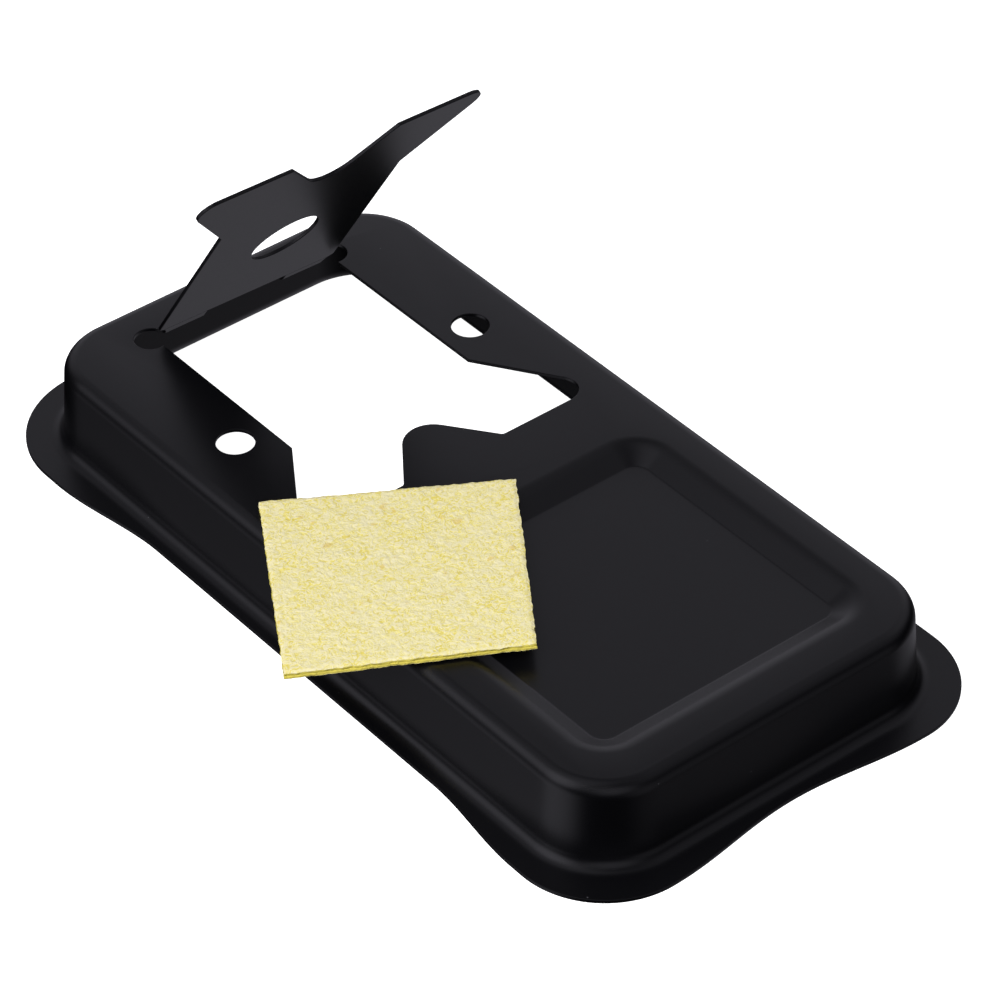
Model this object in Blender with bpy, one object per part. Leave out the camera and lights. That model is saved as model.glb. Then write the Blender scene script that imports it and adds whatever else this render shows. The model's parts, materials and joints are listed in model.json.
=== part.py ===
# Bench stand for a soldering iron: one sheet steel pressing with a sponge tray,
# a Y-shaped iron rest lanced out of its deck and folded up, and a loose cleaning sponge.
# Metres, +Z up, +Y towards the folded rest, origin on the table under the middle of the whole object.

from math import atan2, cos, pi, radians, sin, tan

import bmesh
import bpy
from mathutils import Matrix, Vector
from mathutils.geometry import intersect_line_line_2d

MM = 0.001
SAME_PLACE = 0.01              # millimetres, nearer than this counts as the same place

# Sheet and pressing. Lengths here are in millimetres, and every point below is measured
# from the middle of the pressing until the parts are placed.
SHEET = 0.6                    # steel thickness with its coating
HEIGHT = 14.9                  # table to the top of the deck
WALL_HALF_X = 33.7             # outside of the wall at the deck
WALL_HALF_Y = 68.3
WALL_CORNER = 11.6             # plan radius of the wall's corners
WALL_DRAFT = radians(2.5)
TOP_BEND = 2.4                 # radius over the deck's edge
FOOT_BEND = 2.2                # radius where the wall turns out into the flange

# Flange outline: wide at the four corners, drawn in along each side.
FLANGE_HALF_Y = 74.8
FLANGE_FRONT = {"half_x": 39.75, "corner": 15.2, "ramp": (37.0, 57.0)}
FLANGE_REAR = {"half_x": 40.4, "corner": 17.5, "ramp": (31.0, 54.0)}
FLANGE_WAIST_X = 37.75         # half width along the middle of the long sides
FLANGE_WAIST_DEPTH = 2.35      # how far the short sides are drawn in at the middle
FLANGE_WAIST_REACH = 24.5      # half length of that drawn-in stretch

# Sponge tray: a shallow square recess with sloping sides.
TRAY_Y = -34.0
TRAY_HALF = 27.6               # outer edge of the rim bend
TRAY_CORNER = 7.6
TRAY_DEPTH = 2.0
TRAY_SLOPE = radians(28.0)
TRAY_RIM_BEND = 5.0
TRAY_FLOOR_BEND = 0.8

# Window that the rest is cut from, right half, front to rear.
FOLD_Y = 59.06
TONGUE_APEX = (0.0, 18.06)     # where the tongue's straight sides would meet
TONGUE_ROOT = (9.66, 5.07)
HORN_CORNER = (29.1, 5.07)
WINDOW_SHOULDER = (17.2, 22.98)
TONGUE_RADIUS = 4.7
ROOT_RADIUS = 0.8
HORN_RADIUS = 3.1
RELIEF = (17.78, FOLD_Y)       # round relief at each end of the fold
RELIEF_RADIUS = 2.7
DECK_HOLE = (23.0, 29.67)
DECK_HOLE_RADIUS = 3.05

# Rest: the window's own cut-out, smaller by the kerf, with a round hole.
KERF = 0.3
REST_LOWER_EDGE = 2.07         # from the fold to the rest's lower edge, along the sheet
REST_HOLE_S = 22.5             # from the fold to the hole's centre
REST_HOLE_RADIUS = 6.0
REST_ANGLE = radians(56.6)     # raised from flat
FOLD_AXIS = Vector((-0.99975, 0.0198, -0.0108)).normalized()   # a hand-made fold is not quite square

# Fold webs: the two bridges of sheet left between the relief holes and the middle slot.
DECK_SLOT_EDGE = 1.5           # from the fold to the deck's edge behind it
WEB_INNER_X = 7.6
WEB_OUTER_X = 14.7
WEB_GAP = 0.3
WEB_STEPS = 12
WEB_BEND_REACH = 1.3           # the sheet turns from this far before the fold line to this far past it

# Sponge: a thin dry cellulose sheet lying askew on the deck, corners in order.
SPONGE_CORNERS = [(-29.9, 14.6), (3.3, -5.9), (-18.2, -37.2), (-50.5, -19.1)]
SPONGE_THICKNESS = 1.3
SPONGE_GAP = 0.3
SPONGE_EDGE = 0.2

# Facets: along each round corner, straight side, bend and hole.
CORNER_STEPS = 8
LONG_STEPS = 18
SHORT_STEPS = 10
BEND_STEPS = 3
TRAY_SIDE_STEPS = 3
TRAY_CORNER_STEPS = 6
TRAY_CORNER_TAPER = 0.7        # the tray's corners tighten by this share of the inset
TONGUE_STEPS = 12
ROOT_STEPS = 3
HORN_STEPS = 8
RELIEF_STEPS = 14
RELIEF_BITE_STEPS = 3
DECK_HOLE_STEPS = 24
REST_HOLE_STEPS = 32

COATED_STEEL = {"color": (0.024, 0.024, 0.028, 1.0), "roughness": 0.5, "metallic": 0.0}
CELLULOSE = {"color": (0.83, 0.76, 0.33, 1.0), "roughness": 0.95, "metallic": 0.0}


def clear_scene():
    for item in list(bpy.data.objects):
        bpy.data.objects.remove(item, do_unlink=True)


def new_material(name, look):
    material = bpy.data.materials.new(name)
    material.use_nodes = True
    shader = material.node_tree.nodes["Principled BSDF"]
    shader.inputs["Base Color"].default_value = look["color"]
    shader.inputs["Roughness"].default_value = look["roughness"]
    shader.inputs["Metallic"].default_value = look["metallic"]
    return material


def new_object(name, mesh_data, material, parent=None):
    mesh = bpy.data.meshes.new(name)
    mesh_data.to_mesh(mesh)
    mesh_data.free()
    mesh.materials.append(material)
    item = bpy.data.objects.new(name, mesh)
    item.parent = parent
    bpy.context.scene.collection.objects.link(item)
    return item


def new_empty(name, place, parent=None):
    empty = bpy.data.objects.new(name, None)
    empty.empty_display_size = 5 * MM
    empty.parent = parent
    empty.matrix_local = place
    bpy.context.scene.collection.objects.link(empty)
    return empty


def smooth_step(value):
    value = min(max(value, 0.0), 1.0)
    return value * value * (3 - 2 * value)


def arc_points(centre, radius, start, end, steps):
    angles = [start + (end - start) * i / steps for i in range(steps + 1)]
    return [(centre[0] + radius * cos(a), centre[1] + radius * sin(a)) for a in angles]


def fillet_points(before, corner, after, radius, steps):
    """The arc of a given radius that rounds a corner between two straight edges."""
    corner, before, after = Vector(corner), Vector(before), Vector(after)
    towards_before = (before - corner).normalized()
    towards_after = (after - corner).normalized()
    half = towards_before.angle(towards_after) / 2
    centre = corner + (towards_before + towards_after).normalized() * radius / sin(half)
    start = corner + towards_before * radius / tan(half) - centre
    end = corner + towards_after * radius / tan(half) - centre
    first = atan2(start.y, start.x)
    sweep = atan2(end.y, end.x) - first
    sweep = (sweep + pi) % (2 * pi) - pi
    return arc_points(centre, radius, first, first + sweep, steps)


def offset_path(points, distance):
    """An open path moved sideways, to the left of its direction, with sharp corners kept."""
    moved = []
    for a, b in zip(points, points[1:]):
        along = (Vector(b) - Vector(a)).normalized()
        side = Vector((-along.y, along.x)) * distance
        moved.append((Vector(a) + side, Vector(b) + side))
    corners = [crossing(*first, *second) for first, second in zip(moved, moved[1:])]
    return [tuple(moved[0][0])] + corners + [tuple(moved[-1][1])]


def crossing(a, b, c, d):
    """Where the lines through a and b and through c and d cross, also past their ends."""
    past_ends = 1000
    first = (b - a).normalized() * past_ends
    second = (d - c).normalized() * past_ends
    return tuple(intersect_line_line_2d(a - first, a + first, c - second, c + second))


def mirrored_loop(right_half):
    """Closes an outline from its right half, whose first and last points may lie on the middle line."""
    left_half = [(-x, y) for x, y in reversed(right_half) if x > SAME_PLACE]
    return right_half + left_half


def cut_outline(inset):
    """Right half of the Y shape from the middle of the tongue to the shoulder, rounded.

    The inset moves it inwards from the window's edge to the rest's edge."""
    behind_fold = (WINDOW_SHOULDER[0], FOLD_Y)
    mirror_root = (-TONGUE_ROOT[0], TONGUE_ROOT[1])
    path = [mirror_root, TONGUE_APEX, TONGUE_ROOT, HORN_CORNER, WINDOW_SHOULDER, behind_fold]
    path = offset_path(path, inset)
    tip = fillet_points(path[0], path[1], path[2], TONGUE_RADIUS + inset, TONGUE_STEPS)
    root = fillet_points(path[1], path[2], path[3], ROOT_RADIUS - inset, ROOT_STEPS)
    horn = fillet_points(path[2], path[3], path[4], HORN_RADIUS - inset, HORN_STEPS)
    middle = len(tip) // 2
    return tip[middle:] + root + horn + [path[4]]


def relief_height(x):
    """How far the relief circle reaches from the fold at a given distance from the middle."""
    return (RELIEF_RADIUS ** 2 - (x - RELIEF[0]) ** 2) ** 0.5


def window_outline():
    side_x = WINDOW_SHOULDER[0]
    reach = relief_height(side_x)
    start = atan2(-reach, side_x - RELIEF[0])
    edge_x = RELIEF[0] - (RELIEF_RADIUS ** 2 - DECK_SLOT_EDGE ** 2) ** 0.5
    end = atan2(DECK_SLOT_EDGE, edge_x - RELIEF[0])
    relief = arc_points(RELIEF, RELIEF_RADIUS, start, end, RELIEF_STEPS)
    return mirrored_loop(cut_outline(0.0) + relief)


def rest_outline():
    side_x = WINDOW_SHOULDER[0] - KERF
    edge_x = RELIEF[0] - (RELIEF_RADIUS ** 2 - REST_LOWER_EDGE ** 2) ** 0.5
    start = atan2(-relief_height(side_x), side_x - RELIEF[0])
    end = atan2(-REST_LOWER_EDGE, edge_x - RELIEF[0])
    relief = arc_points(RELIEF, RELIEF_RADIUS, start, end, RELIEF_BITE_STEPS)
    return mirrored_loop(cut_outline(KERF) + relief)


def circle_outline(centre, radius, steps):
    return arc_points(centre, radius, 0, 2 * pi, steps)[:-1]


def corner_rings(half_x, half_y, front_radius, rear_radius, steps):
    """Corner arcs of a rounded rectangle, counter-clockwise from the right front corner."""
    corners = []
    for sign_x, sign_y, start in ((1, -1, -pi / 2), (1, 1, 0), (-1, 1, pi / 2), (-1, -1, pi)):
        radius = front_radius if sign_y < 0 else rear_radius
        centre = (sign_x * (half_x - radius), sign_y * (half_y - radius))
        corners.append(arc_points(centre, radius, start, start + pi / 2, steps))
    return corners


def rounded_rectangle(half_x, half_y, radius, long_steps, short_steps, corner_steps):
    corners = corner_rings(half_x, half_y, radius, radius, corner_steps)
    return join_corners(corners, long_steps, short_steps)


def join_corners(corners, long_steps, short_steps):
    points = []
    for index, corner in enumerate(corners):
        following = corners[(index + 1) % 4][0]
        points += corner
        steps = long_steps if index % 2 == 0 else short_steps
        last = corner[-1]
        for i in range(1, steps):
            t = i / steps
            points.append((last[0] + (following[0] - last[0]) * t, last[1] + (following[1] - last[1]) * t))
    return points


def flange_outline():
    front, rear = FLANGE_FRONT, FLANGE_REAR
    corners = []
    for sign_x, sign_y, start in ((1, -1, -pi / 2), (1, 1, 0), (-1, 1, pi / 2), (-1, -1, pi)):
        end = front if sign_y < 0 else rear
        centre = (sign_x * (end["half_x"] - end["corner"]), sign_y * (FLANGE_HALF_Y - end["corner"]))
        corners.append(arc_points(centre, end["corner"], start, start + pi / 2, CORNER_STEPS))
    return [drawn_in(x, y) for x, y in join_corners(corners, LONG_STEPS, SHORT_STEPS)]


def drawn_in(x, y):
    """Pulls the straight stretches of the flange inwards between its corners."""
    end = FLANGE_FRONT if y < 0 else FLANGE_REAR
    if abs(y) < FLANGE_HALF_Y - end["corner"] - SAME_PLACE:
        ramp_start, ramp_end = end["ramp"]
        share = smooth_step((abs(y) - ramp_start) / (ramp_end - ramp_start))
        half_x = FLANGE_WAIST_X + (end["half_x"] - FLANGE_WAIST_X) * share
        return (half_x if x > 0 else -half_x, y)
    if abs(y) > FLANGE_HALF_Y - SAME_PLACE and abs(x) < FLANGE_WAIST_REACH:
        depth = FLANGE_WAIST_DEPTH * cos(pi * x / (2 * FLANGE_WAIST_REACH)) ** 2
        return (x, y - depth if y > 0 else y + depth)
    return (x, y)


def pressing_profile():
    """Offsets outwards from the wall line at the deck, with heights, from flange to deck."""
    foot_centre = (FOOT_BEND + HEIGHT * tan(WALL_DRAFT), SHEET + FOOT_BEND)
    rows = []
    for i in range(BEND_STEPS + 1):
        angle = (pi / 2 - WALL_DRAFT) * i / BEND_STEPS
        rows.append((foot_centre[0] - FOOT_BEND * sin(angle), foot_centre[1] - FOOT_BEND * cos(angle)))
    for i in range(BEND_STEPS + 1):
        angle = WALL_DRAFT + (pi / 2 - WALL_DRAFT) * i / BEND_STEPS
        rows.append((TOP_BEND * (cos(angle) - 1), HEIGHT + TOP_BEND * (sin(angle) - 1)))
    return rows


def tray_profile():
    """Offsets inwards from the rim with heights, from the deck down to the floor."""
    rows = [(TRAY_RIM_BEND * sin(a), HEIGHT - TRAY_RIM_BEND * (1 - cos(a)))
            for a in (TRAY_SLOPE * i / BEND_STEPS for i in range(BEND_STEPS + 1))]
    floor_z = HEIGHT - TRAY_DEPTH
    drop = rows[-1][1] - (floor_z + TRAY_FLOOR_BEND * (1 - cos(TRAY_SLOPE)))
    floor_x = rows[-1][0] + drop / tan(TRAY_SLOPE) + TRAY_FLOOR_BEND * sin(TRAY_SLOPE)
    for i in range(3):
        angle = TRAY_SLOPE * (1 - i / 2)
        rows.append((floor_x - TRAY_FLOOR_BEND * sin(angle), floor_z + TRAY_FLOOR_BEND * (1 - cos(angle))))
    return rows


def add_loop(mesh, points, height):
    verts = [mesh.verts.new((x * MM, y * MM, height * MM)) for x, y in points]
    return verts, [mesh.edges.new((verts[i - 1], verts[i])) for i in range(len(verts))]


def bridge_rings(mesh, first, second):
    count = len(first)
    for i in range(count):
        j = (i + 1) % count
        mesh.faces.new((first[i], first[j], second[j], second[i]))


def fill_plane(mesh, edges):
    bmesh.ops.triangle_fill(mesh, use_beauty=True, use_dissolve=False, edges=edges, normal=(0, 0, 1))


def thicken(item, thickness):
    solid = item.modifiers.new("sheet", "SOLIDIFY")
    solid.thickness = thickness * MM
    solid.offset = -1.0
    solid.use_even_offset = True
    solid.use_quality_normals = True


def pressing_rings(mesh):
    """Flange, wall and both bends. Returns the edges of the deck's outer ring."""
    rings = [add_loop(mesh, flange_outline(), SHEET)[0]]
    for offset, height in pressing_profile():
        outline = rounded_rectangle(WALL_HALF_X + offset, WALL_HALF_Y + offset, WALL_CORNER + offset,
                                    LONG_STEPS, SHORT_STEPS, CORNER_STEPS)
        ring, edges = add_loop(mesh, outline, height)
        rings.append(ring)
    for first, second in zip(rings, rings[1:]):
        bridge_rings(mesh, first, second)
    return edges


def tray_rings(mesh):
    """The recess. Returns the edges of its rim, and fills its floor."""
    rings = []
    for inset, height in tray_profile():
        half, corner = TRAY_HALF - inset, TRAY_CORNER - inset * TRAY_CORNER_TAPER
        outline = rounded_rectangle(half, half, corner, TRAY_SIDE_STEPS, TRAY_SIDE_STEPS, TRAY_CORNER_STEPS)
        outline = [(x, y + TRAY_Y) for x, y in outline]
        rings.append(add_loop(mesh, outline, height))
    for (first, _), (second, _) in zip(rings, rings[1:]):
        bridge_rings(mesh, first, second)
    fill_plane(mesh, rings[-1][1])
    return rings[0][1]


def build_pressing(material, parent):
    mesh = bmesh.new()
    deck_edges = pressing_rings(mesh)
    deck_edges += tray_rings(mesh)
    deck_edges += add_loop(mesh, window_outline(), HEIGHT)[1]
    for side in (-1, 1):
        hole = circle_outline((side * DECK_HOLE[0], DECK_HOLE[1]), DECK_HOLE_RADIUS, DECK_HOLE_STEPS)
        deck_edges += add_loop(mesh, hole, HEIGHT)[1]
    fill_plane(mesh, deck_edges)
    bmesh.ops.recalc_face_normals(mesh, faces=mesh.faces)
    upwards = sum(face.normal.z * face.calc_area() for face in mesh.faces)
    if upwards < 0:
        bmesh.ops.reverse_faces(mesh, faces=mesh.faces)
    item = new_object("base_pressing", mesh, material, parent)
    thicken(item, SHEET)
    return item


def flat_to_fold(x, y):
    """A point of the flat sheet's middle layer, in metres, measured from the fold's pivot."""
    return Vector((x * MM, (y - FOLD_Y) * MM, 0.0))


def build_rest(material, parent):
    mesh = bmesh.new()
    edges = []
    hole_centre = (0.0, FOLD_Y - REST_HOLE_S)
    for outline in (rest_outline(), circle_outline(hole_centre, REST_HOLE_RADIUS, REST_HOLE_STEPS)):
        verts = [mesh.verts.new(flat_to_fold(x, y) + Vector((0, 0, SHEET / 2 * MM))) for x, y in outline]
        edges += [mesh.edges.new((verts[i - 1], verts[i])) for i in range(len(verts))]
    fill_plane(mesh, edges)
    bmesh.ops.recalc_face_normals(mesh, faces=mesh.faces)
    if sum(face.normal.z for face in mesh.faces) < 0:
        bmesh.ops.reverse_faces(mesh, faces=mesh.faces)
    item = new_object("iron_rest", mesh, material, parent)
    thicken(item, SHEET)
    return item


def fold_share(distance):
    """Share of the fold's turn at a distance past the fold line: none on the deck, all on the rest."""
    return smooth_step((distance + WEB_BEND_REACH) / (2 * WEB_BEND_REACH))


def build_web(name, side, material, parent):
    mesh = bmesh.new()
    start = -DECK_SLOT_EDGE + WEB_GAP
    end = REST_LOWER_EDGE - WEB_GAP
    inner, outer = side * WEB_INNER_X, side * WEB_OUTER_X
    rows = []
    for i in range(WEB_STEPS + 1):
        distance = start + (end - start) * i / WEB_STEPS
        turn = Matrix.Rotation(REST_ANGLE * fold_share(distance), 4, FOLD_AXIS)
        row = []
        for x, z in ((inner, -SHEET / 2), (outer, -SHEET / 2), (outer, SHEET / 2), (inner, SHEET / 2)):
            flat = Vector((x * MM, -distance * MM, z * MM))
            row.append(mesh.verts.new(turn @ flat))
        rows.append(row)
    for first, second in zip(rows, rows[1:]):
        bridge_rings(mesh, first, second)
    mesh.faces.new(rows[0])
    mesh.faces.new(rows[-1])
    bmesh.ops.recalc_face_normals(mesh, faces=mesh.faces)
    return new_object(name, mesh, material, parent)


def build_sponge(material, parent):
    mesh = bmesh.new()
    centre_x = sum(x for x, _ in SPONGE_CORNERS) / 4
    centre_y = sum(y for _, y in SPONGE_CORNERS) / 4
    verts = [mesh.verts.new(((x - centre_x) * MM, (y - centre_y) * MM, 0)) for x, y in SPONGE_CORNERS]
    face = mesh.faces.new(verts)
    raised = bmesh.ops.extrude_face_region(mesh, geom=[face])["geom"]
    moved = [item for item in raised if isinstance(item, bmesh.types.BMVert)]
    bmesh.ops.translate(mesh, vec=(0, 0, SPONGE_THICKNESS * MM), verts=moved)
    bmesh.ops.recalc_face_normals(mesh, faces=mesh.faces)
    item = new_object("sponge", mesh, material, parent)
    item.location = (centre_x * MM, centre_y * MM, (HEIGHT + SPONGE_GAP) * MM)
    bevel = item.modifiers.new("soft_edge", "BEVEL")
    bevel.width = SPONGE_EDGE * MM
    bevel.segments = 1
    return item


def main():
    clear_scene()
    steel = new_material("coated_steel", COATED_STEEL)
    cellulose = new_material("cellulose", CELLULOSE)
    # The sponge overhangs the left side, so the pressing sits right of the whole object's middle.
    widest_left = min(x for x, _ in SPONGE_CORNERS)
    centre_x = -(FLANGE_REAR["half_x"] + widest_left) / 2
    stand = new_empty("stand", Matrix.Translation((centre_x * MM, 0, 0)))
    build_pressing(steel, stand)
    pivot = Vector((0, FOLD_Y, HEIGHT - SHEET / 2)) * MM
    fold_line = new_empty("fold_line", Matrix.Translation(pivot), stand)
    for name, side in (("fold_web_left", -1), ("fold_web_right", 1)):
        build_web(name, side, steel, fold_line)
    rest_turn = Matrix.Rotation(REST_ANGLE, 4, FOLD_AXIS)
    rest_hinge = new_empty("rest_hinge", rest_turn, fold_line)
    build_rest(steel, rest_hinge)
    build_sponge(cellulose, stand)
    bpy.context.view_layer.update()


main()
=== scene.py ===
# Bench stand for a soldering iron: one steel pressing with a black powder coat, its iron rest folded up
# out of the deck, and a dry cellulose sponge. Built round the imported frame, in metres.
import json
from math import atan2, cos, hypot, pi, radians, sin, tan

import bmesh
import bpy
from mathutils import Matrix, Vector, noise


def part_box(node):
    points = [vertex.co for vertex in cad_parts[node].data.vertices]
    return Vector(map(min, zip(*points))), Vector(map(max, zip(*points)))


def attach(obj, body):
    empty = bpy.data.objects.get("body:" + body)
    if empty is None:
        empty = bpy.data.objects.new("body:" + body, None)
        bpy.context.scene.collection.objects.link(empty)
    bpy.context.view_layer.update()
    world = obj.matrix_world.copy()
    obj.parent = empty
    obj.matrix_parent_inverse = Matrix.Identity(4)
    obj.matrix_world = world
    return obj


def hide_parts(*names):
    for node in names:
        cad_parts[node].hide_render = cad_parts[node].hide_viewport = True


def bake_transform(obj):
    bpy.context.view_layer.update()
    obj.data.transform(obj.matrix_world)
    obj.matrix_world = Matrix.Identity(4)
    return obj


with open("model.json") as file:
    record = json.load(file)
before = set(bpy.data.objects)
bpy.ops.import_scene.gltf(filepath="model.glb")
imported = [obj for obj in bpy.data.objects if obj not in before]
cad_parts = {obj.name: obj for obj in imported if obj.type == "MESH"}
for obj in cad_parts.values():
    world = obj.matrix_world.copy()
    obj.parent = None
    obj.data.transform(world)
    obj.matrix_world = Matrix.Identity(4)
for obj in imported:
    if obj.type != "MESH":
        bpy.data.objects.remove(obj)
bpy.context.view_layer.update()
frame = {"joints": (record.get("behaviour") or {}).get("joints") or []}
mm = 0.001
samePlace = 0.01 * mm                          # nearer than this counts as the same place

# Places that the frame gives.
standLow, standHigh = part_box("base_pressing")
spongeLow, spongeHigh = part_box("sponge")
middle = (standLow + standHigh) / 2            # the middle of the pressing in plan
deckZ = standHigh.z
foldJoint = next(joint for joint in frame["joints"] if joint["name"] == "rest_fold")
foldPoint, foldAxis = Vector(foldJoint["pos_m"]), Vector(foldJoint["axis"]).normalized()


# Modelling helpers.

def inPlan(x, y, z=0.0):                       # millimetres from the pressing's middle, to frame metres
    return Vector((middle.x + x * mm, y * mm, z * mm))


def addPiece(name, primitive, **settings):     # a new primitive on its own, left in edit mode
    bpy.ops.object.select_all(action="DESELECT")
    primitive(**settings)
    piece = bpy.context.object
    piece.name = piece.data.name = name
    bpy.ops.object.transform_apply(location=True, rotation=True, scale=True)
    bpy.ops.object.mode_set(mode="EDIT")
    bpy.ops.mesh.select_all(action="SELECT")
    return piece


def enterEdit(piece):
    bpy.ops.object.select_all(action="DESELECT")
    bpy.context.view_layer.objects.active = piece
    bpy.ops.object.mode_set(mode="EDIT")


def editMesh():
    return bmesh.from_edit_mesh(bpy.context.edit_object.data)


def pick(kind, test):                          # selects only the vertices, edges or faces that pass
    bpy.ops.mesh.select_mode(type=kind)
    bpy.ops.mesh.select_all(action="DESELECT")
    mesh = editMesh()
    parts = {"VERT": mesh.verts, "EDGE": mesh.edges, "FACE": mesh.faces}[kind]
    for part in parts:
        if test(part):
            part.select_set(True)
    mesh.select_flush_mode()
    bmesh.update_edit_mesh(bpy.context.edit_object.data)


def placeVertices(rule, vertices=None):        # moves vertices to where the rule puts them
    for vertex in vertices or editMesh().verts:
        vertex.co = rule(vertex.co.copy())
    bmesh.update_edit_mesh(bpy.context.edit_object.data)


def resizeAbout(centre, sizeX, sizeY):
    bpy.ops.transform.resize(value=(sizeX, sizeY, 1), center_override=centre)


def roundPlate(corner, steps):                 # rounds the corners of the selected rectangle
    bpy.ops.mesh.bevel(affect="VERTICES", offset=corner * mm, offset_type="OFFSET", segments=steps)


def insetRows(rows):                           # insets the face from one (inwards, height) to the next
    for (x, z), (nextX, nextZ) in zip(rows, rows[1:]):
        bpy.ops.mesh.inset(thickness=(nextX - x) * mm, depth=(nextZ - z) * mm)


def leaveEdit():
    bpy.ops.object.mode_set(mode="OBJECT")


def finishWith(piece, kind, **settings):       # adds a modifier and applies it
    modifier = piece.modifiers.new(kind.lower(), kind)
    for key, value in settings.items():
        setattr(modifier, key, value)
    bpy.context.view_layer.objects.active = piece
    bpy.ops.object.modifier_apply(modifier=modifier.name)


def pierce(piece, holes, steps):               # round holes through, each (x, y, radius) in millimetres
    drill = 20 * mm                            # long enough to pass right through the sheet
    for x, y, radius in holes:
        bpy.ops.object.select_all(action="DESELECT")
        bpy.ops.mesh.primitive_cylinder_add(
            vertices=steps, radius=radius * mm, depth=drill, location=inPlan(x, y, deckZ / mm))
        cutter = bpy.context.object
        finishWith(piece, "BOOLEAN", operation="DIFFERENCE", object=cutter)
        bpy.data.objects.remove(cutter)


def easeCutEdges(piece, width, keepSharp):     # takes the sharpness off the sheared edges
    sharp = radians(60)
    enterEdit(piece)
    pick("EDGE", lambda edge: len(edge.link_faces) == 2
         and edge.calc_face_angle() > sharp and not keepSharp(edge))
    bpy.ops.mesh.bevel(offset=width * mm, segments=2, affect="EDGES")
    leaveEdit()


def smoothBends(piece, angle=20):              # shades as smooth what bends by less than this many degrees
    bpy.ops.object.select_all(action="DESELECT")
    piece.select_set(True)
    bpy.context.view_layer.objects.active = piece
    bpy.ops.object.shade_smooth_by_angle(angle=radians(angle))


# The pressing. Lengths are millimetres and angles degrees.

pressing = {
    "sheet": 0.6,                              # steel with its coating
    "wallHalf": (33.7, 68.3),                  # outside of the wall at the deck
    "wallCorner": 11.6,
    "wallDraft": 2.5,
    "topBend": 2.4,
    "footBend": 2.2,
    "bendSteps": 10,
    "cornerSteps": 24,
    "sideCuts": 79,                            # along each side, for the flange's curved edge
    "flat": 0.4,                               # a flat rim beside each bend keeps its shading off the flats
    "cutEase": 0.1,
}
flange = {
    "front": {"halfX": 39.75, "corner": 15.2, "ramp": (37.0, 57.0)},
    "rear": {"halfX": 40.4, "corner": 17.5, "ramp": (31.0, 54.0)},
    "waistHalfX": 37.75,                       # along the middle of the long sides
    "waistDepth": 2.35,                        # how far the short sides are drawn in
    "waistReach": 24.5,
}
tray = {
    "y": -34.0,
    "half": 27.6,
    "corner": 7.6,
    "depth": 2.0,
    "slope": 28.0,
    "rimBend": 5.0,
    "floorBend": 0.8,
    "bendSteps": 8,
}
window = {
    "tongueTip": (0.0, 18.06, 4.7),            # each corner with its radius, right half
    "tongueRoot": (9.66, 5.07, 0.8),
    "horn": (29.1, 5.07, 3.1),
    "shoulder": (17.2, 22.98, 0.0),
    "slotEdge": 1.5,                           # from the fold to the deck behind it
    "relief": (17.78, 2.7),                    # round relief at each end of the fold
    "deckHole": (23.0, 29.67, 3.05),
    "webFrom": 7.6,                            # the strips of sheet that carry the rest start here
    "cornerSteps": 12,
    "holeSteps": 64,
}
foldY = foldPoint.y / mm


def bendRows(x, z, radius, start, end, steps): # (x, height) round a centre, angles from straight down
    angles = [start + (end - start) * step / steps for step in range(steps + 1)]
    return [(x + radius * sin(angle), z - radius * cos(angle)) for angle in angles]


def pressingRows():                            # (inwards, height) from the flange up to the deck
    draft, sheet, height = radians(pressing["wallDraft"]), pressing["sheet"], deckZ / mm
    foot, top, steps = pressing["footBend"], pressing["topBend"], pressing["bendSteps"]
    footStart = foot + height * tan(draft)
    rows = [(-footStart - pressing["flat"], sheet)]
    rows += bendRows(-footStart, sheet + foot, foot, 0, pi / 2 - draft, steps)
    rows += bendRows(top, height - top, top, -pi / 2 - draft, -pi, steps)
    return rows + [(top + pressing["flat"], height)]


def trayRows():                                # (inwards, height) from the rim down to the floor
    slope, rim, small = radians(tray["slope"]), tray["rimBend"], tray["floorBend"]
    height, flat, steps = deckZ / mm, pressing["flat"], tray["bendSteps"]
    rows = [(-flat, height)] + bendRows(0, height - rim, rim, pi, pi - slope, steps)
    drop = rows[-1][1] - (height - tray["depth"] + small * (1 - cos(slope)))
    floorStart = rows[-1][0] + drop / tan(slope) + small * sin(slope)
    rows += bendRows(floorStart, height - tray["depth"] + small, small, -slope, 0, steps)
    return rows + [(floorStart + flat, height - tray["depth"])]


def smoothStep(value):
    value = min(max(value, 0.0), 1.0)
    return value * value * (3 - 2 * value)


def flangeEdge(point):                         # where a point of the foot lands on the flange's edge
    x, y = (point.x - middle.x) / mm, point.y / mm
    end = flange["front"] if y < 0 else flange["rear"]
    corner = end["corner"]
    footX, footY = (half - pressing["wallCorner"] for half in pressing["wallHalf"])
    halfY = (standHigh.y - standLow.y) / 2 / mm
    outX, outY = max(abs(x) - footX, 0.0), max(abs(y) - footY, 0.0)
    reach = hypot(outX, outY)
    edgeX = (end["halfX"] - corner) * min(abs(x) / footX, 1) + corner * outX / reach
    edgeY = (halfY - corner) * min(abs(y) / footY, 1) + corner * outY / reach
    if outY == 0:
        share = smoothStep((edgeY - end["ramp"][0]) / (end["ramp"][1] - end["ramp"][0]))
        edgeX = flange["waistHalfX"] + (end["halfX"] - flange["waistHalfX"]) * share
    if outX == 0 and edgeX < flange["waistReach"]:
        edgeY -= flange["waistDepth"] * cos(pi * edgeX / (2 * flange["waistReach"])) ** 2
    return inPlan(edgeX if x > 0 else -edgeX, edgeY if y > 0 else -edgeY, point.z / mm)


def addPlate(centreY, height, halfX, halfY, corner):   # in edit mode, a plate with round corners
    centre = inPlan(0, centreY, height)
    bpy.ops.mesh.primitive_plane_add(size=2 * mm, location=centre)
    resizeAbout(centre, halfX, halfY)
    roundPlate(corner, pressing["cornerSteps"])


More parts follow.
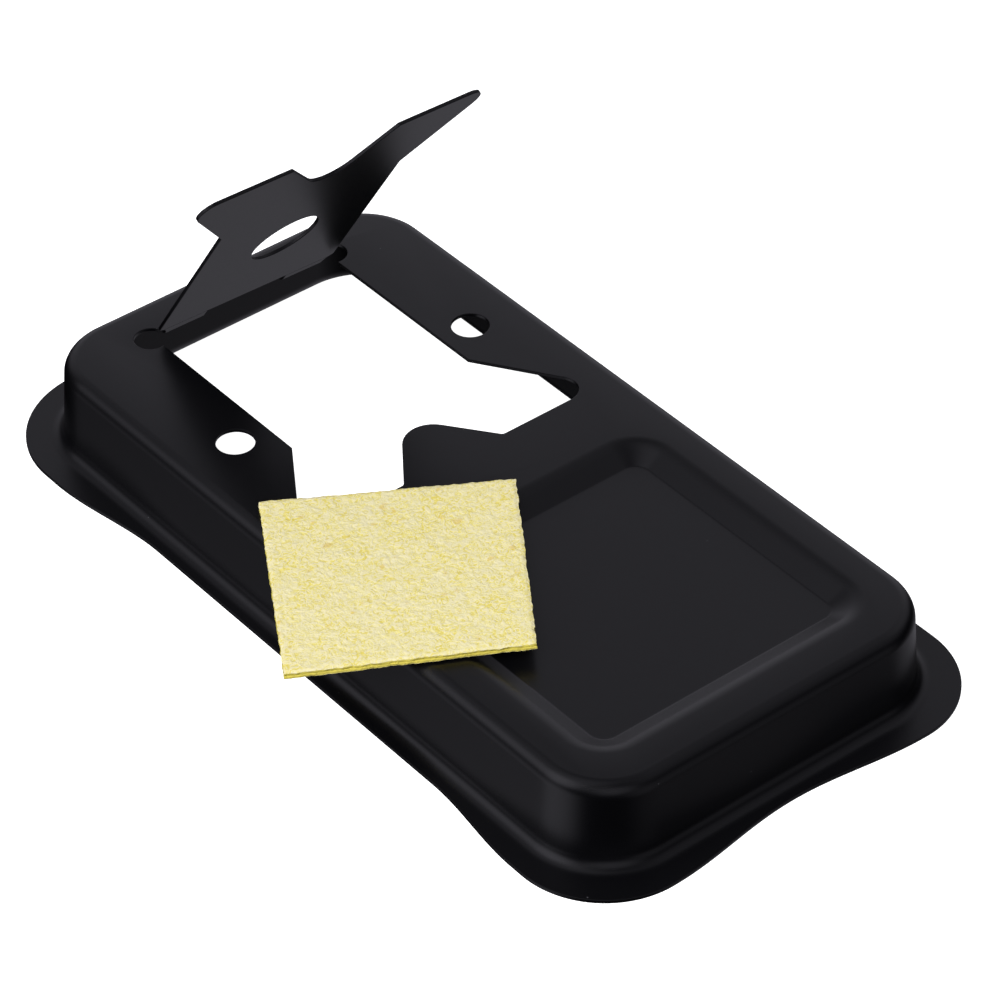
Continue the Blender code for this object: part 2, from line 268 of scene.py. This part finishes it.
def addWindow():                               # in edit mode, the closed outline that the rest is cut from
    height = deckZ / mm
    rearY = foldY + window["slotEdge"]
    right = [window["tongueRoot"], window["horn"], window["shoulder"]]
    right += [(window["shoulder"][0], rearY, 0.0), (window["webFrom"], rearY, 0.0)]
    outline = [window["tongueTip"]] + right + [(-x, y, radius) for x, y, radius in reversed(right)]
    places = [inPlan(x, y, height) for x, y, _ in outline]
    middleOfDeck = inPlan(0, 0, height)
    bpy.ops.mesh.primitive_circle_add(vertices=len(outline), radius=mm, location=middleOfDeck)
    ring = [vertex for vertex in editMesh().verts if vertex.select]
    ring.sort(key=lambda vertex: atan2(vertex.co.y, vertex.co.x - middle.x))
    for vertex, place in zip(ring, places):
        vertex.co = place
    bmesh.update_edit_mesh(bpy.context.edit_object.data)
    for index, corner in enumerate(places):
        radius = outline[index][2] * mm
        before, after = places[index - 1] - corner, places[(index + 1) % len(places)] - corner
        half = before.angle(after) / 2
        # This profile takes the bevel's curve through the middle of the true arc at any angle.
        profile = (1 - 0.5 / (1 + sin(half))) ** 2
        if radius:
            pick("VERT", lambda vertex: (vertex.co - corner).length < samePlace)
            bpy.ops.mesh.bevel(affect="VERTICES", offset=radius / tan(half), offset_type="OFFSET",
                               segments=window["cornerSteps"], profile=profile)


def makePressing():
    height = deckZ / mm
    rows = pressingRows()
    outline = [half - rows[0][0] for half in pressing["wallHalf"]]
    piece = addPiece("standPressing", bpy.ops.mesh.primitive_plane_add,
                     size=2 * mm, location=inPlan(0, 0, rows[0][1]))
    resizeAbout(inPlan(0, 0, rows[0][1]), *outline)
    roundPlate(pressing["wallCorner"] - rows[0][0], pressing["cornerSteps"])
    pick("EDGE", lambda edge: edge.calc_length() > pressing["wallHalf"][0] * mm)   # the straight sides
    bpy.ops.mesh.subdivide(number_cuts=pressing["sideCuts"])
    pick("FACE", lambda face: True)
    insetRows(rows)
    bpy.ops.mesh.delete(type="ONLY_FACE")
    pick("EDGE", lambda edge: edge.is_boundary and edge.verts[0].co.z < deckZ / 2)
    bpy.ops.mesh.extrude_edges_move()          # the flange, from the foot out to its own edge
    placeVertices(flangeEdge, [vertex for vertex in editMesh().verts if vertex.select])

    rim = tray["half"] + pressing["flat"]
    bpy.ops.mesh.select_all(action="DESELECT")
    addPlate(tray["y"], height, rim, rim, tray["corner"] + pressing["flat"])
    insetRows(trayRows())
    bpy.ops.mesh.select_all(action="DESELECT")
    addWindow()
    pick("FACE", lambda face: len(face.verts) > 4
         and abs(face.calc_center_median().z - deckZ) < samePlace)
    bpy.ops.mesh.delete(type="ONLY_FACE")
    pick("EDGE", lambda edge: len(edge.link_faces) < 2
         and all(abs(vertex.co.z - deckZ) < samePlace for vertex in edge.verts))
    bpy.ops.mesh.fill(use_beauty=True)         # the flat deck, between its edge, the tray and the window
    bpy.ops.mesh.select_all(action="SELECT")
    bpy.ops.mesh.normals_make_consistent(inside=False)
    if sum(face.normal.z * face.calc_area() for face in editMesh().faces) < 0:
        bpy.ops.mesh.flip_normals()
    leaveEdit()
    finishWith(piece, "SOLIDIFY", thickness=pressing["sheet"] * mm, offset=-1, use_even_offset=True)
    reliefX, reliefRadius = window["relief"]
    holeX, holeY, holeRadius = window["deckHole"]
    for side in (-1, 1):
        holes = [(side * reliefX, foldY, reliefRadius), (side * holeX, holeY, holeRadius)]
        pierce(piece, holes, window["holeSteps"])
    mergeDeck(piece)
    easeCutEdges(piece, pressing["cutEase"], meetsWeb)
    smoothBends(piece)
    return piece


def mergeDeck(piece):                          # few large flat faces, so that easing folds no slivers over
    level, flatAngle = 0.9999, radians(0.5)
    lowest = deckZ - 1.1 * pressing["sheet"] * mm
    enterEdit(piece)
    pick("FACE", lambda face: abs(face.normal.z) > level and face.calc_center_median().z > lowest)
    bpy.ops.mesh.dissolve_limited(angle_limit=flatAngle)
    leaveEdit()


def liesAt(edge, y):                           # whether an edge runs along this line, y in mm from the fold
    return all(abs(vertex.co.y - foldPoint.y - y * mm) < samePlace for vertex in edge.verts)


def isInWeb(edge):                             # whether its middle is beyond the slot, where the webs are
    offX = abs((edge.verts[0].co.x + edge.verts[1].co.x) / 2 - middle.x)
    return offX > window["webFrom"] * mm


def meetsWeb(edge):                            # the slot's edge where it runs on into the webs
    return liesAt(edge, window["slotEdge"]) and isInWeb(edge)


print("pressing")
standPressing = makePressing()
print("faces", len(standPressing.data.polygons))


# The rest: the window's own cut-out less the saw gap, pierced, then folded up on its two webs.

rest = {
    "kerf": 0.3,                               # the tool's clearance all round the cut
    "lowerEdge": 2.07,                         # from the fold to the rest's lower edge
    "holeFromFold": 22.5,
    "holeRadius": 6.0,
    "raised": 56.6,
    "foldRadius": 1.3,                         # of the sheet's middle layer round the fold
    "holeSteps": 96,
}
web = {
    "rows": 30,
    "columns": 8,
}
raised, foldRadius = radians(rest["raised"]), rest["foldRadius"] * mm
foldReach = foldRadius * tan(raised / 2)       # the bend starts and ends this far from the fold line


def foldUp(point):                             # from the flat sheet to the folded one, round the bend
    flat = point - foldPoint
    share = min(max((foldReach - flat.y) / (2 * foldReach), 0.0), 1.0)   # 0 on the deck, 1 on the rest
    turn = raised * share
    if 0 < share < 1:
        radius = foldRadius - flat.z
        flat = Vector((flat.x, foldReach - radius * sin(turn), foldRadius - radius * cos(turn)))
        flat = Matrix.Rotation(-turn, 3, (-1, 0, 0)) @ flat
    return foldPoint + Matrix.Rotation(turn, 3, foldAxis) @ flat


def makeRest():
    piece = addPiece("restPlate", bpy.ops.mesh.primitive_plane_add, size=mm)
    bpy.ops.mesh.delete(type="VERT")
    addWindow()
    bpy.ops.mesh.select_all(action="SELECT")
    bpy.ops.mesh.edge_face_add()
    bpy.ops.mesh.normals_make_consistent(inside=False)
    pick("FACE", lambda face: True)
    bpy.ops.mesh.inset(thickness=rest["kerf"] * mm, depth=0)
    bpy.ops.mesh.select_all(action="INVERT")
    bpy.ops.mesh.delete(type="FACE")
    bpy.ops.mesh.select_all(action="SELECT")
    lowerEdge = inPlan(0, foldY - rest["lowerEdge"])
    bpy.ops.mesh.bisect(plane_co=lowerEdge, plane_no=(0, 1, 0), clear_outer=True)
    bpy.ops.mesh.select_all(action="SELECT")
    bpy.ops.mesh.normals_make_consistent(inside=False)
    leaveEdit()
    finishWith(piece, "SOLIDIFY", thickness=pressing["sheet"] * mm, offset=-1 if isUp(piece) else 1)
    reliefX, reliefRadius = window["relief"]
    pierce(piece, [(0, foldY - rest["holeFromFold"], rest["holeRadius"])], rest["holeSteps"])
    pierce(piece, [(side * reliefX, foldY, reliefRadius) for side in (-1, 1)], window["holeSteps"])
    easeCutEdges(piece, pressing["cutEase"],
                 lambda edge: liesAt(edge, -rest["lowerEdge"]) and isInWeb(edge))
    for vertex in piece.data.vertices:
        vertex.co = foldUp(vertex.co)
    smoothBends(piece)
    return piece


def isUp(piece):                               # which way a flat sheet's faces point
    return sum(face.normal.z * face.area for face in piece.data.polygons) > 0


def reliefEdge(y):                             # half the sheet's width between the reliefs, y from the fold
    x, radius = window["relief"]
    return x - (radius ** 2 - y ** 2) ** 0.5


def makeWeb(name, side):
    rear, front = window["slotEdge"], -rest["lowerEdge"]

    def toWeb(point):                          # a unit grid to the strip between the slot and the relief
        y = front + (rear - front) * (point.y + 0.5)
        inner, outer = window["webFrom"], reliefEdge(y)
        return inPlan(side * (inner + (outer - inner) * (point.x + 0.5)), foldY + y, deckZ / mm)

    piece = addPiece(name, bpy.ops.mesh.primitive_grid_add,
                     x_subdivisions=web["columns"], y_subdivisions=web["rows"], size=1)
    placeVertices(toWeb)
    bpy.ops.mesh.normals_make_consistent(inside=False)
    leaveEdit()
    finishWith(piece, "SOLIDIFY", thickness=pressing["sheet"] * mm, offset=-1 if isUp(piece) else 1)
    easeCutEdges(piece, pressing["cutEase"], lambda edge: liesAt(edge, rear) or liesAt(edge, front))
    for vertex in piece.data.vertices:
        vertex.co = foldUp(vertex.co)
    smoothBends(piece)
    return piece


print("rest and webs")
restPlate = makeRest()
foldWebLeft = makeWeb("foldWebLeft", -1)
foldWebRight = makeWeb("foldWebRight", 1)


# The sponge: a thin compressed sheet, cut by hand, lying askew on the deck.

sponge = {
    "corners": ((-29.9, 14.6), (3.3, -5.9), (-18.2, -37.2), (-50.5, -19.1)),
    "grid": 0.2,                               # mesh spacing
    "layers": 9,                               # through the thickness
    "lumps": ((4.5, 0.05), (1.3, 0.06), (0.55, 0.07)),    # size and height of the pressed grain
    "ragged": ((6.0, 0.10), (1.5, 0.14), (0.6, 0.10)),    # size and depth of the hand-cut edges
    "cutBack": 0.13,                           # how far the ragged edge stands inside the corners
    "cutReach": 1.2,                           # how far in from the edge the raggedness dies away
    "edgeFall": 0.14,                          # how far the skin rounds down to the cut
    "split": (0.55, 0.12, 0.22),               # height share, half width and depth of the seam in the cut
    "skinGap": 0.10,                           # mean depth of the skin below the highest fibres
    "seeds": {"cut": 1.7, "top": 4.2, "bottom": 9.1},
    "smooth": 55,                              # degrees, so that only torn edges stay sharp
}


def grain(point, sizes, seed):                 # layered noise in millimetres
    total = 0.0
    start = Vector((seed, 7.3 * seed, 3.1))    # each seed reads the noise somewhere else
    for size, height in sizes:
        total += noise.noise(point / (size * mm) + start) * height
    return total


def spongeSurface(u, v, w):                    # a point of the sheet from its shares across, along and up
    a, b, c, d = (Vector(corner) for corner in sponge["corners"])
    plan = a * (1 - u) * (1 - v) + b * u * (1 - v) + c * u * v + d * (1 - u) * v
    low, high = spongeLow.z / mm, spongeHigh.z / mm
    place = inPlan(plan.x, plan.y, low)
    level, halfWidth, depth = sponge["split"]
    seam = depth * max(0.0, 1 - abs(w - level) / halfWidth)
    seeds, reach = sponge["seeds"], sponge["cutReach"]
    nearest = reach
    for share, side in ((u, a - b), (1 - u, b - a), (v, a - d), (1 - v, d - a)):
        inwards = share * side.length
        if inwards < reach:
            rough = grain(place + Vector((0, 0, w * 1.2 * mm)), sponge["ragged"], seeds["cut"])
            cut = max(sponge["cutBack"] + rough, 0.0) + seam
            plan -= side.normalized() * cut * (1 - smoothStep(inwards / reach))
            nearest = min(nearest, inwards)
    fall = sponge["edgeFall"] * (1 - smoothStep(nearest / (0.5 * reach)))
    top = high - sponge["skinGap"] - fall + grain(place, sponge["lumps"], seeds["top"])
    under = grain(place, sponge["lumps"], seeds["bottom"])
    bottom = low + (sponge["skinGap"] + fall + under) / 2      # the underside is pressed flatter
    top, bottom = min(top, high), max(bottom, low)
    return inPlan(plan.x, plan.y, bottom + (top - bottom) * w)


def makeSponge():
    a, b, _, d = (Vector(corner) for corner in sponge["corners"])
    columns, rows = (round(side.length / sponge["grid"]) for side in (b - a, d - a))
    piece = addPiece("cleaningSponge", bpy.ops.mesh.primitive_grid_add,
                     x_subdivisions=columns, y_subdivisions=rows, size=1)
    bpy.ops.mesh.extrude_region_move(TRANSFORM_OT_translate={"value": (0, 0, 1)})
    pick("EDGE", lambda edge: abs(edge.verts[0].co.z - edge.verts[1].co.z) > 0.5)   # the upright ones
    bpy.ops.mesh.subdivide(number_cuts=sponge["layers"])
    bpy.ops.mesh.select_all(action="SELECT")
    bpy.ops.mesh.normals_make_consistent(inside=False)
    leaveEdit()
    bareCut = piece.data.attributes.new("bareCut", "FLOAT", "POINT")   # 1 on the cut edges, with no skin
    for vertex, bare in zip(piece.data.vertices, bareCut.data):
        bare.value = float(0 < vertex.co.z < 1)
        vertex.co = spongeSurface(vertex.co.x + 0.5, 0.5 - vertex.co.y, vertex.co.z)
    smoothBends(piece, sponge["smooth"])
    return piece


print("sponge")
cleaningSponge = makeSponge()


# Materials.

def fromHex(value):                            # an sRGB hex colour, to the linear values that shaders take
    parts = [int(value[i:i + 2], 16) / 255 for i in (1, 3, 5)]
    return [part / 12.92 if part <= 0.04045 else ((part + 0.055) / 1.055) ** 2.4 for part in parts] + [1.0]


def addNode(tree, kind, settings=None, **links):   # settings are sockets by name, or the node's own
    node = tree.nodes.new("ShaderNode" + kind)
    for key, value in (settings or {}).items():
        if key in node.inputs:
            node.inputs[key].default_value = value
        else:
            setattr(node, key, value)
    for socket, source in links.items():
        tree.links.new(source, node.inputs[socket.replace("_", " ")])
    return node


def perMm(size):                               # the noise scale for features of a size in millimetres
    return 1 / (size * mm)


def newMaterial(name):
    material = bpy.data.materials.new(name)
    material.use_nodes = True
    return material, material.node_tree, material.node_tree.nodes["Principled BSDF"]


# Black powder coat, baked on steel: satin, with a faint grain, a slight orange peel and a little dust.

coat = {
    "colour": "#070709",
    "dust": "#5c5c60",
    "roughness": 0.33,
    "roughnessSpread": 0.03,
    "grainSize": 0.3,                          # mm
    "grainBump": (0.12, 0.02),                 # strength, and height in mm
    "peelSize": 3.5,
    "peelBump": (0.25, 0.02),
    "dustSpacing": 7.0,
    "dustSize": (0.018, 0.010),                # share of the spacing where a speck starts, and is full
}


def bumpOf(tree, sizes, height, **links):      # a Bump node from its strength and its height in millimetres
    strength, tall = sizes
    return addNode(tree, "Bump", {"Strength": strength, "Distance": tall * mm}, Height=height, **links)


def makePowderCoat():
    material, tree, shader = newMaterial("blackPowderCoat")
    place = addNode(tree, "TexCoord").outputs["Object"]
    fine = addNode(tree, "TexNoise", {"Scale": perMm(coat["grainSize"]), "Detail": 2.0}, Vector=place)
    peel = addNode(tree, "TexNoise", {"Scale": perMm(coat["peelSize"]), "Detail": 1.0}, Vector=place)
    dust = addNode(tree, "TexVoronoi", {"Scale": perMm(coat["dustSpacing"])}, Vector=place)
    start, full = coat["dustSize"]
    speck = addNode(tree, "MapRange", {"From Min": start, "From Max": full}, Value=dust.outputs["Distance"])
    colour = addNode(tree, "Mix", {"data_type": "RGBA"}, Factor=speck.outputs["Result"])
    colour.inputs["A"].default_value = fromHex(coat["colour"])
    colour.inputs["B"].default_value = fromHex(coat["dust"])
    least, most = (coat["roughness"] + sign * coat["roughnessSpread"] for sign in (-1, 1))
    dull = addNode(tree, "MapRange", {"To Min": least, "To Max": most}, Value=fine.outputs["Fac"])
    bumps = bumpOf(tree, coat["grainBump"], fine.outputs["Fac"])
    waves = bumpOf(tree, coat["peelBump"], peel.outputs["Fac"], Normal=bumps.outputs["Normal"])
    tree.links.new(colour.outputs["Result"], shader.inputs["Base Color"])
    tree.links.new(dull.outputs["Result"], shader.inputs["Roughness"])
    tree.links.new(waves.outputs["Normal"], shader.inputs["Normal"])
    return material


# Compressed cellulose, dried: matt and fibrous, pale on the pressed skin, yellow in crevices and cuts; the
# crevices are also painted darker, as painted shade.

cellulose = {
    "pale": "#f4eab8",
    "yellow": "#f2e690",
    # darker yellow for the fibre hollows: the fibres' own yellow with painted shade
    "shadedHollowYellow": "#e8d566",
    "chalk": "#f1eac2",
    "amber": "#e2c050",
    "cut": "#e6d660",
    "fibreSize": 0.9,                          # mm
    "fibreStops": (0.34, 0.45, 0.55),          # where the fibres turn from the hollows' darker yellow (their own yellow with painted shade) to yellow to pale
    "fibreBump": (0.9, 0.16),                  # strength, and height in mm
    "pitSize": 0.3,
    "pitBump": (0.8, 0.06),
    "patchSize": 3.5,
    "patchRange": (0.42, 0.68, 0.45),          # where the chalky patches start, are full, and how strong
    "spotSize": 2.2,
    "spotRange": (0.68, 0.76, 0.5),            # the same for the amber spots
    "roughness": 0.92,
    "specular": 0.25,
}


def patches(tree, noiseNode, limits):          # how much of a colour shows, from a noise
    start, full, strength = limits
    return addNode(tree, "MapRange", {"From Min": start, "From Max": full, "To Max": strength},
                   Value=noiseNode.outputs["Fac"]).outputs["Result"]


def makeCellulose():
    material, tree, shader = newMaterial("drySpongeCellulose")
    place = addNode(tree, "TexCoord").outputs["Object"]
    fibre, patch, pit, spot = (
        addNode(tree, "TexNoise", {"Scale": perMm(cellulose[size]), "Detail": detail, "Distortion": curl},
                Vector=place)
        for size, detail, curl in (("fibreSize", 4.0, 2.2), ("patchSize", 2.0, 0.0),
                                   ("pitSize", 3.0, 0.0), ("spotSize", 1.0, 0.0)))
    # the fibre noise that raises the bump also picks the colour, so its hollows get the darker yellow: own
    # colour plus painted shade
    ramp = addNode(tree, "ValToRGB", Fac=fibre.outputs["Fac"])
    stops = ramp.color_ramp.elements
    shadedHollowStop, yellowStop, paleStop = cellulose["fibreStops"]
    stops[0].position, stops[0].color = shadedHollowStop, fromHex(cellulose["shadedHollowYellow"])
    stops[1].position, stops[1].color = paleStop, fromHex(cellulose["pale"])
    stops.new(yellowStop).color = fromHex(cellulose["yellow"])
    bare = addNode(tree, "Attribute", {"attribute_name": "bareCut"})
    colour = ramp.outputs["Color"]
    for name, share in (("chalk", patches(tree, patch, cellulose["patchRange"])),
                        ("amber", patches(tree, spot, cellulose["spotRange"])),
                        ("cut", bare.outputs["Fac"])):
        blend = addNode(tree, "Mix", {"data_type": "RGBA"}, Factor=share)
        tree.links.new(colour, blend.inputs["A"])
        blend.inputs["B"].default_value = fromHex(cellulose[name])
        colour = blend.outputs["Result"]
    bumps = bumpOf(tree, cellulose["fibreBump"], fibre.outputs["Fac"])
    pits = bumpOf(tree, cellulose["pitBump"], pit.outputs["Fac"], Normal=bumps.outputs["Normal"])
    tree.links.new(colour, shader.inputs["Base Color"])
    tree.links.new(pits.outputs["Normal"], shader.inputs["Normal"])
    shader.inputs["Roughness"].default_value = cellulose["roughness"]
    shader.inputs["Specular IOR Level"].default_value = cellulose["specular"]
    return material


print("materials")
blackPowderCoat = makePowderCoat()
drySpongeCellulose = makeCellulose()
for piece in (standPressing, restPlate, foldWebLeft, foldWebRight):
    piece.data.materials.clear()
    piece.data.materials.append(blackPowderCoat)
cleaningSponge.data.materials.append(drySpongeCellulose)


# What each piece rides on, and the node that it stands for.

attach(standPressing, "stand")
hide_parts("base_pressing")
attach(restPlate, "rest")
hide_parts("iron_rest")
for piece, node in ((foldWebLeft, "fold_web_left"), (foldWebRight, "fold_web_right")):
    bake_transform(piece)
    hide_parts(node)
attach(cleaningSponge, "sponge_pad")
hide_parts("sponge")


# Floor, light and camera.

view = {
    "azimuth": -38.587,                        # round the stand, 0 looks along +Y
    "elevation": 39.318,
    "roll": -0.7126,
    "lens": 162.1,
    "distance": 0.69136,
    "aim": (9.83, 7.46, 1.20),                 # millimetres from the pressing's middle
}
floorLook = {
    "size": 6,                                 # metres
    "colour": "#e8e8e8",
    "roughness": 0.9,
    "glow": 1.0,                               # keeps the floor pale round a dark object
}
fill = {                                       # lamp for the matt surfaces, kept out of reflections
    "towards": (-0.55, -0.35, 0.75),
    "distance": 0.9,                           # metres
    "size": 0.6,
    "power": 7.4,
}
softboxes = {                                  # azimuth from the rear to the right, elevation, brightness
    "windowLeft": (-70, 35, 1.10),
    "ceiling": (-45, 70, 0.40),
    "rightRear": (70, 35, 0.30),
    "rightHigh": (120, 50, 0.20),
    "rear": (15, 25, 0.35),
    "rightLow": (45, 5, 0.40),
    "front": (165, -5, 0.20),
    "frontLeft": (-150, 35, 0.45),
    "leftBounce": (-75, -25, 0.55),
    "rearBounce": (55, -55, 0.15),
    "rightBounce": (95, -40, 0.20),
    "underBounce": (125, -60, 0.15),
}
softboxSpread = 35                             # degrees from a softbox's middle to where it fades out
softboxTint = (1.0, 0.98, 1.10, 1.0)           # a little cool


def makeStage():
    bpy.ops.object.select_all(action="DESELECT")
    bpy.ops.mesh.primitive_plane_add(size=floorLook["size"], location=(0, 0, 0))
    floor = bpy.context.object
    floor.name = "paleFloor"
    floor.visible_glossy = False               # its glow lights nothing, the bounce lights do that
    floor.visible_diffuse = False
    material, _, shader = newMaterial("paleFloor")
    shader.inputs["Base Color"].default_value = fromHex(floorLook["colour"])
    shader.inputs["Roughness"].default_value = floorLook["roughness"]
    shader.inputs["Emission Color"].default_value = (1, 1, 1, 1)
    shader.inputs["Emission Strength"].default_value = floorLook["glow"]
    floor.data.materials.append(material)


def makeCamera():
    azimuth, elevation, roll = (radians(view[name]) for name in ("azimuth", "elevation", "roll"))
    turn = (Matrix.Rotation(azimuth, 3, "Z") @ Matrix.Rotation(pi / 2 - elevation, 3, "X")
            @ Matrix.Rotation(roll, 3, "Z"))
    bpy.ops.object.camera_add()
    camera = bpy.context.object
    aim = inPlan(*view["aim"])
    camera.matrix_world = (Matrix.Translation(aim + turn @ Vector((0, 0, view["distance"])))
                           @ turn.to_4x4())
    camera.data.lens = view["lens"]
    camera.data.clip_start, camera.data.clip_end = 0.01, 20
    bpy.context.scene.camera = camera


def makeFill():
    towards = Vector(fill["towards"]).normalized()
    bpy.ops.object.light_add(type="AREA", location=towards * fill["distance"])
    lamp = bpy.context.object
    lamp.name = "mattFill"
    lamp.rotation_euler = towards.to_track_quat("Z", "Y").to_euler()
    lamp.data.shape, lamp.data.size, lamp.data.energy = "DISK", fill["size"], fill["power"]
    lamp.visible_glossy = False


def makeStudio():                              # soft round lights on a dark sky, added up
    world = bpy.data.worlds.new("softStudio")
    bpy.context.scene.world = world
    world.use_nodes = True
    tree = world.node_tree
    background = tree.nodes["Background"]
    background.inputs["Color"].default_value = softboxTint
    sight = addNode(tree, "TexCoord").outputs["Generated"]
    glow = None
    for azimuth, elevation, brightness in softboxes.values():
        azimuth, elevation = radians(azimuth), radians(elevation)
        towards = (cos(elevation) * sin(azimuth), cos(elevation) * cos(azimuth), sin(elevation))
        facing = addNode(tree, "VectorMath", {"operation": "DOT_PRODUCT"})
        tree.links.new(sight, facing.inputs[0])
        facing.inputs[1].default_value = towards
        edge = cos(radians(softboxSpread))
        shape = {"interpolation_type": "SMOOTHSTEP", "From Min": edge, "To Max": brightness}
        box = addNode(tree, "MapRange", shape, Value=facing.outputs["Value"])
        if glow:
            total = addNode(tree, "Math", {"operation": "ADD"})
            tree.links.new(glow, total.inputs[0])
            tree.links.new(box.outputs["Result"], total.inputs[1])
            glow = total.outputs["Value"]
        else:
            glow = box.outputs["Result"]
    tree.links.new(glow, background.inputs["Strength"])


print("stage")
makeStage()
makeCamera()
makeFill()
makeStudio()
bpy.context.scene.view_settings.view_transform = "Standard"
